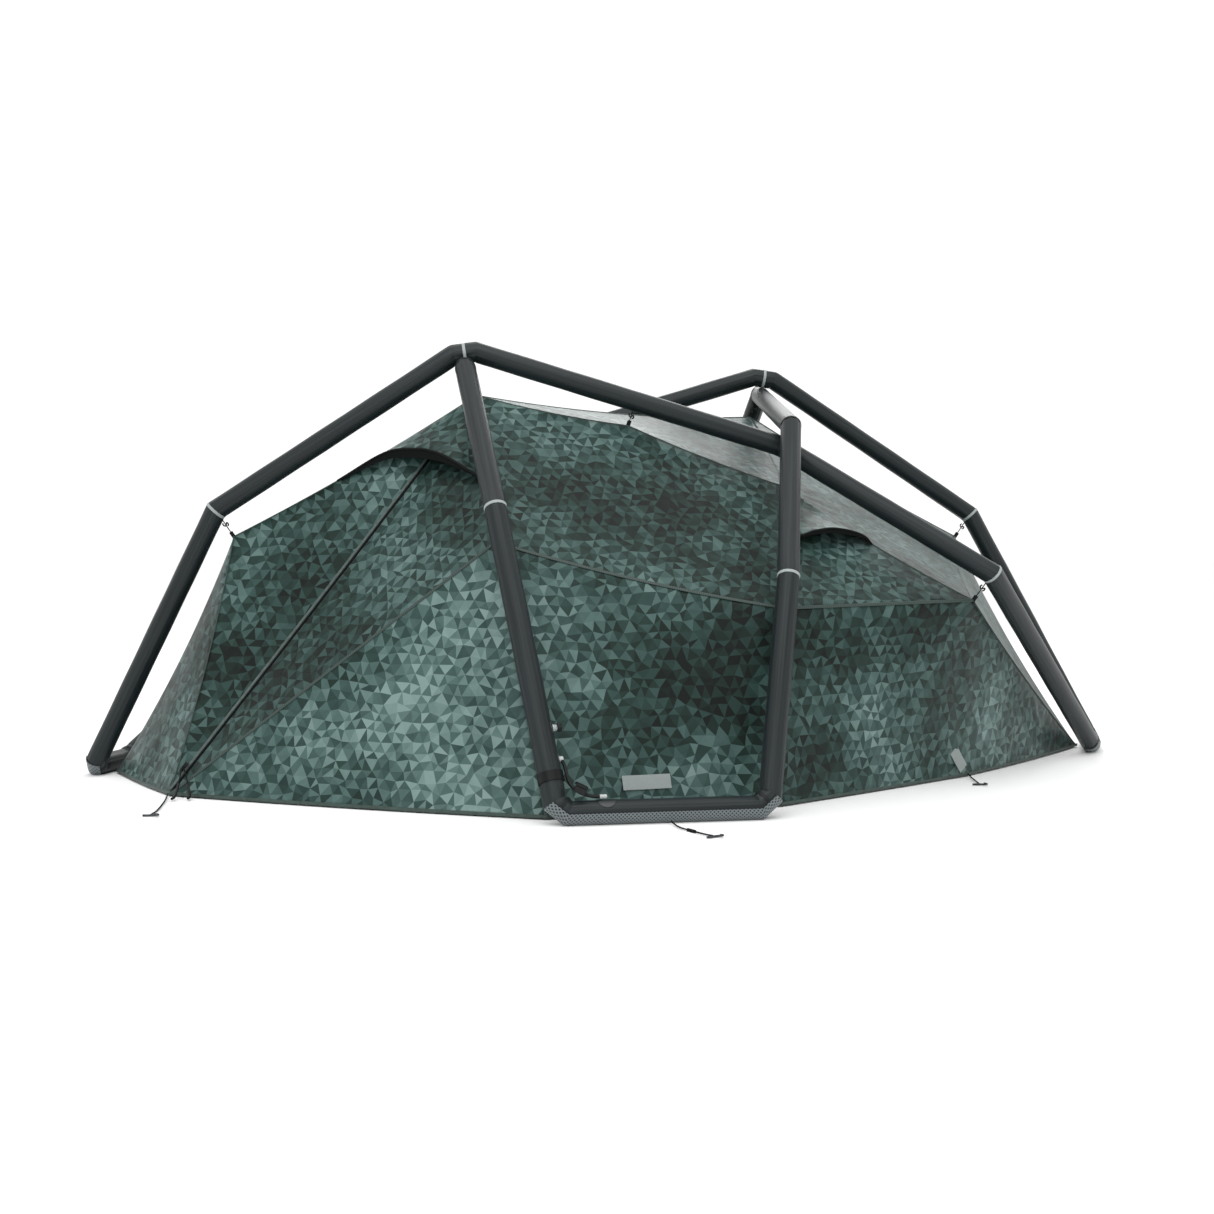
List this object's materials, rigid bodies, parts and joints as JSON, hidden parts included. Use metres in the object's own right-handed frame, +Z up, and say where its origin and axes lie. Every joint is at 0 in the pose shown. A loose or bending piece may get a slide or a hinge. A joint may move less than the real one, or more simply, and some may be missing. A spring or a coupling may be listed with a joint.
{
  "type": "inflatable frame tent",
  "caption": "Two-person tent: green patterned fly hung inside two crossing rings of dark air tube, with a zipped door flap on each long side.",
  "frame": {"origin": "centre of the frame's footprint, on the ground", "axes": "+X along the tent's length, +Y from its front to its back, +Z up"},
  "size_m": [3.2792, 2.4944, 1.2824],
  "materials": {
    "air_tube_cloth": "coated woven sleeve, charcoal",
    "fly_cloth": "ripstop, printed with green facets",
    "floor_cloth": "coated groundsheet",
    "grey_moulding": "moulded, satin",
    "black_moulding": "moulded, satin",
    "peg_metal": "anodised dark",
    "cord": "braided"
  },
  "bodies": {
    "tent": {"front_arch_left_leg": "air_tube_cloth", "back_arch_left_leg": "air_tube_cloth", "front_arch_left_rise": "air_tube_cloth", "back_arch_left_rise": "air_tube_cloth", "front_arch_ridge": "air_tube_cloth", "back_arch_ridge": "air_tube_cloth", "front_arch_slope": "air_tube_cloth", "back_arch_slope": "air_tube_cloth", "front_arch_right_leg": "air_tube_cloth", "back_arch_right_leg": "air_tube_cloth", "front_foot_bar": "air_tube_cloth", "back_foot_bar": "air_tube_cloth", "front_hoop_left_thigh": "air_tube_cloth", "back_hoop_left_thigh": "air_tube_cloth", "front_hoop_left_leg": "air_tube_cloth", "back_hoop_left_leg": "air_tube_cloth", "front_ground_bar": "air_tube_cloth", "back_ground_bar": "air_tube_cloth", "front_hoop_right_leg": "air_tube_cloth", "back_hoop_right_leg": "air_tube_cloth", "front_hoop_right_thigh": "air_tube_cloth", "back_hoop_right_thigh": "air_tube_cloth", "front_hoop_top": "air_tube_cloth", "back_hoop_top": "air_tube_cloth", "front_side_panel": "fly_cloth", "back_side_panel": "fly_cloth", "front_door_gore": "fly_cloth", "back_door_gore": "fly_cloth", "front_upper_wall": "fly_cloth", "back_upper_wall": "fly_cloth", "front_lower_wall": "fly_cloth", "back_lower_wall": "fly_cloth", "front_upper_corner": "fly_cloth", "back_upper_corner": "fly_cloth", "front_lower_corner": "fly_cloth", "back_lower_corner": "fly_cloth", "front_end_wall": "fly_cloth", "back_end_wall": "fly_cloth", "front_roof_side": "fly_cloth", "back_roof_side": "fly_cloth", "front_roof_middle": "fly_cloth", "back_roof_middle": "fly_cloth", "front_door_hood": "fly_cloth", "back_door_hood": "fly_cloth", "groundsheet": "floor_cloth", "valve_body": "grey_moulding", "clamp_base": "black_moulding", "link_hose": "black_moulding", "left_peg": "peg_metal", "left_peg_cord": "cord", "middle_peg": "peg_metal", "middle_peg_cord": "cord", "right_peg": "peg_metal", "right_peg_cord": "cord"},
    "front_door": {"front_door_flap": "fly_cloth"},
    "back_door": {"back_door_flap": "fly_cloth"},
    "front_slider": {"front_zip_slider": "black_moulding"},
    "back_slider": {"back_zip_slider": "black_moulding"},
    "cap": {"valve_cap": "black_moulding"},
    "lever": {"clamp_lever": "black_moulding"}
  },
  "joints": [
    {"name": "front_door_swing", "type": "hinge", "parent": "tent", "child": "front_door", "pos_m": [-0.6439, -0.3715, 0.91146], "axis": [-0.23, 0.579, 0.7822], "range_deg": [0, 95]},
    {"name": "front_zip_slide", "type": "slide", "parent": "tent", "child": "front_slider", "axis": [0.6079, 0.1244, 0.7842], "range_m": [0, 0.969]},
    {"name": "back_door_swing", "type": "hinge", "parent": "tent", "child": "back_door", "pos_m": [0.6439, 0.3715, 0.91146], "axis": [0.23, -0.579, 0.7822], "range_deg": [0, 95]},
    {"name": "back_zip_slide", "type": "slide", "parent": "tent", "child": "back_slider", "axis": [-0.6079, -0.1244, 0.7842], "range_m": [0, 0.969]},
    {"name": "valve_cap_turn", "type": "hinge", "parent": "tent", "child": "cap", "pos_m": [-0.34433, -1.02662, 0.23044], "axis": [0.9895, 0.0583, 0.1326], "range_deg": [0, 360]},
    {"name": "clamp_lever_lift", "type": "hinge", "parent": "tent", "child": "lever", "pos_m": [-0.306, -1.131, 0.0976], "axis": [1, 0, 0], "range_deg": [0, 80]}
  ]
}
